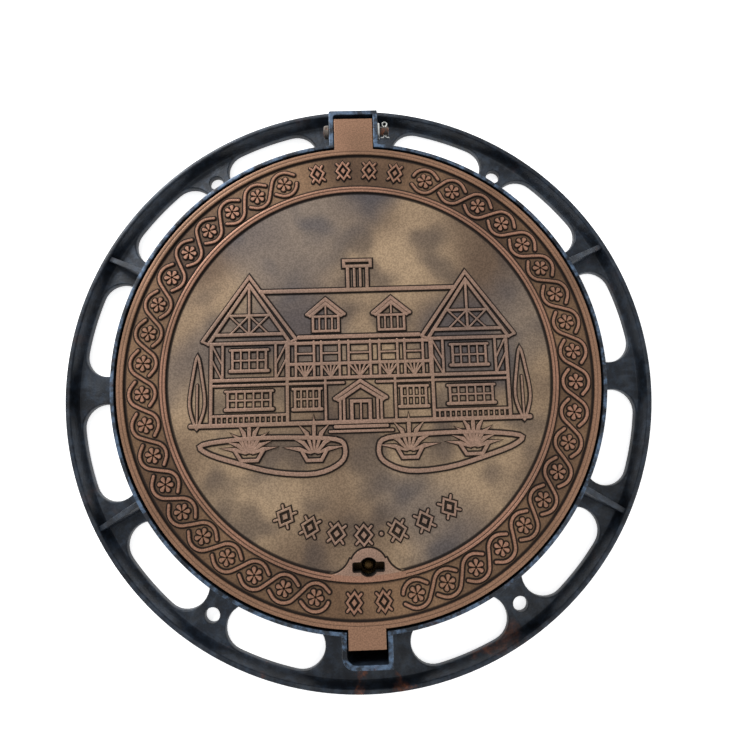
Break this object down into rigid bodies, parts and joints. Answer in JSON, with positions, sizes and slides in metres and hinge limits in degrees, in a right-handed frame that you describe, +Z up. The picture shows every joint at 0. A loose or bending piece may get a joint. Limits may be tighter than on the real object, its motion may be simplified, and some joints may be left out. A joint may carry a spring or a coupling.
{
  "type": "manhole cover",
  "caption": "Round hinged manhole cover with a relief face and quarter-turn lock, seated on a gasket in a slotted anchor frame.",
  "frame": {"origin": "centre of the frame's underside, on the axis of the round opening", "axes": "+Z up out of the road, +Y from the centre towards the hinge, +X to the right with the hinge at the far side"},
  "size_m": [0.85, 0.85, 0.1],
  "materials": {
    "coated_iron": "blue-black dip coating over a sand-cast surface, with light rust at worn edges",
    "copper_finish": "sand-cast iron with an antique copper finish, dark in the recesses and rubbed bright on the raised lines",
    "seal_rubber": "matt black moulded rubber",
    "zinc_steel": "zinc-plated steel, slightly dull",
    "lock_brass": "turned brass, worn",
    "dark_steel": "oiled dark steel with brown stain"
  },
  "bodies": {
    "frame": {"frame_casting": "coated_iron", "seat_gasket": "seal_rubber", "hinge_pin": "dark_steel", "hinge_pin_washer": "zinc_steel", "hinge_split_pin": "zinc_steel"},
    "cover": {"cover_casting": "copper_finish", "hinge_bush": "lock_brass", "lock_housing": "zinc_steel", "lock_screw_1": "zinc_steel", "lock_screw_2": "zinc_steel", "lock_screw_3": "zinc_steel", "lock_screw_4": "zinc_steel", "lock_screw_washer_1": "zinc_steel", "lock_screw_washer_2": "zinc_steel", "lock_screw_washer_3": "zinc_steel", "lock_screw_washer_4": "zinc_steel", "lock_spring": "dark_steel", "lock_thrust_washer": "lock_brass"},
    "lock": {"lock_plug": "lock_brass", "lock_tongue": "zinc_steel", "lock_tongue_washer": "zinc_steel", "lock_nut": "zinc_steel"}
  },
  "joints": [
    {"name": "cover_hinge", "type": "hinge", "parent": "frame", "child": "cover", "pos_m": [0, 0.352, 0.088], "axis": [-1, 0, 0], "range_deg": [0, 110]},
    {"name": "lock_turn", "type": "hinge", "parent": "cover", "child": "lock", "pos_m": [0.004, -0.245, 0.05], "axis": [0, 0, -1], "range_deg": [0, 90]}
  ]
}
